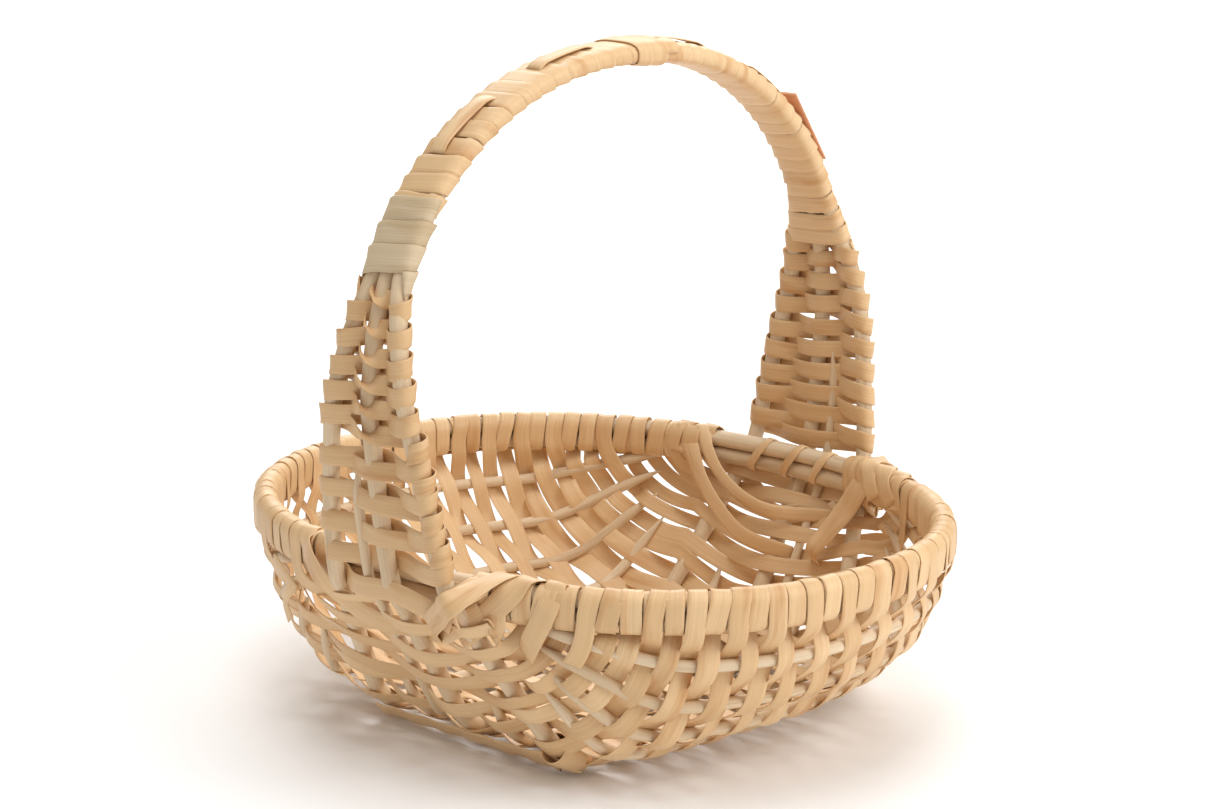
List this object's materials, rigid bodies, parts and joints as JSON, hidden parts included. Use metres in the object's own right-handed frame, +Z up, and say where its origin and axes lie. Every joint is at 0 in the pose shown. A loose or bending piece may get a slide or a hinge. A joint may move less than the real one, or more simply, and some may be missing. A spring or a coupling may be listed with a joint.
{
  "type": "basket",
  "caption": "Oval rib basket woven from flat wooden splints on peeled rods, with a fixed arched handle whose hoops fan out into woven feet and run on under the floor",
  "frame": {"origin": "middle of the resting face under the floor", "axes": "+Z up, X along the long axis of the rim, Y along the plane of the handle"},
  "size_m": [0.437, 0.412, 0.3986],
  "materials": {
    "peeled_rod": "matte peeled willow rod",
    "splint": "satin shaved wood splint with fine lengthwise grain"
  },
  "bodies": {
    "root": {"ear_lashing_far": "splint", "ear_lashing_near": "splint", "end_weave_far": "splint", "end_weave_near": "splint", "floor_edge_splint_far": "splint", "floor_edge_splint_near": "splint", "floor_rib_back": "peeled_rod", "floor_rib_front": "peeled_rod", "floor_weave": "splint", "foot_stake_far": "peeled_rod", "foot_stake_near": "peeled_rod", "foot_weave_far": "splint", "foot_weave_near": "splint", "handle_hoop_back": "peeled_rod", "handle_hoop_front": "peeled_rod", "handle_hoop_middle": "peeled_rod", "handle_overlay": "splint", "handle_wrap": "splint", "rib_back_1": "peeled_rod", "rib_back_2": "peeled_rod", "rib_back_3": "peeled_rod", "rib_back_4": "peeled_rod", "rib_front_1": "peeled_rod", "rib_front_2": "peeled_rod", "rib_front_3": "peeled_rod", "rib_front_4": "peeled_rod", "rim_binders_far": "splint", "rim_rod_lower": "peeled_rod", "rim_rod_upper": "peeled_rod", "rim_wraps_back": "splint", "rim_wraps_front": "splint", "side_weave_back": "splint", "side_weave_front": "splint"}
  },
  "joints": []
}
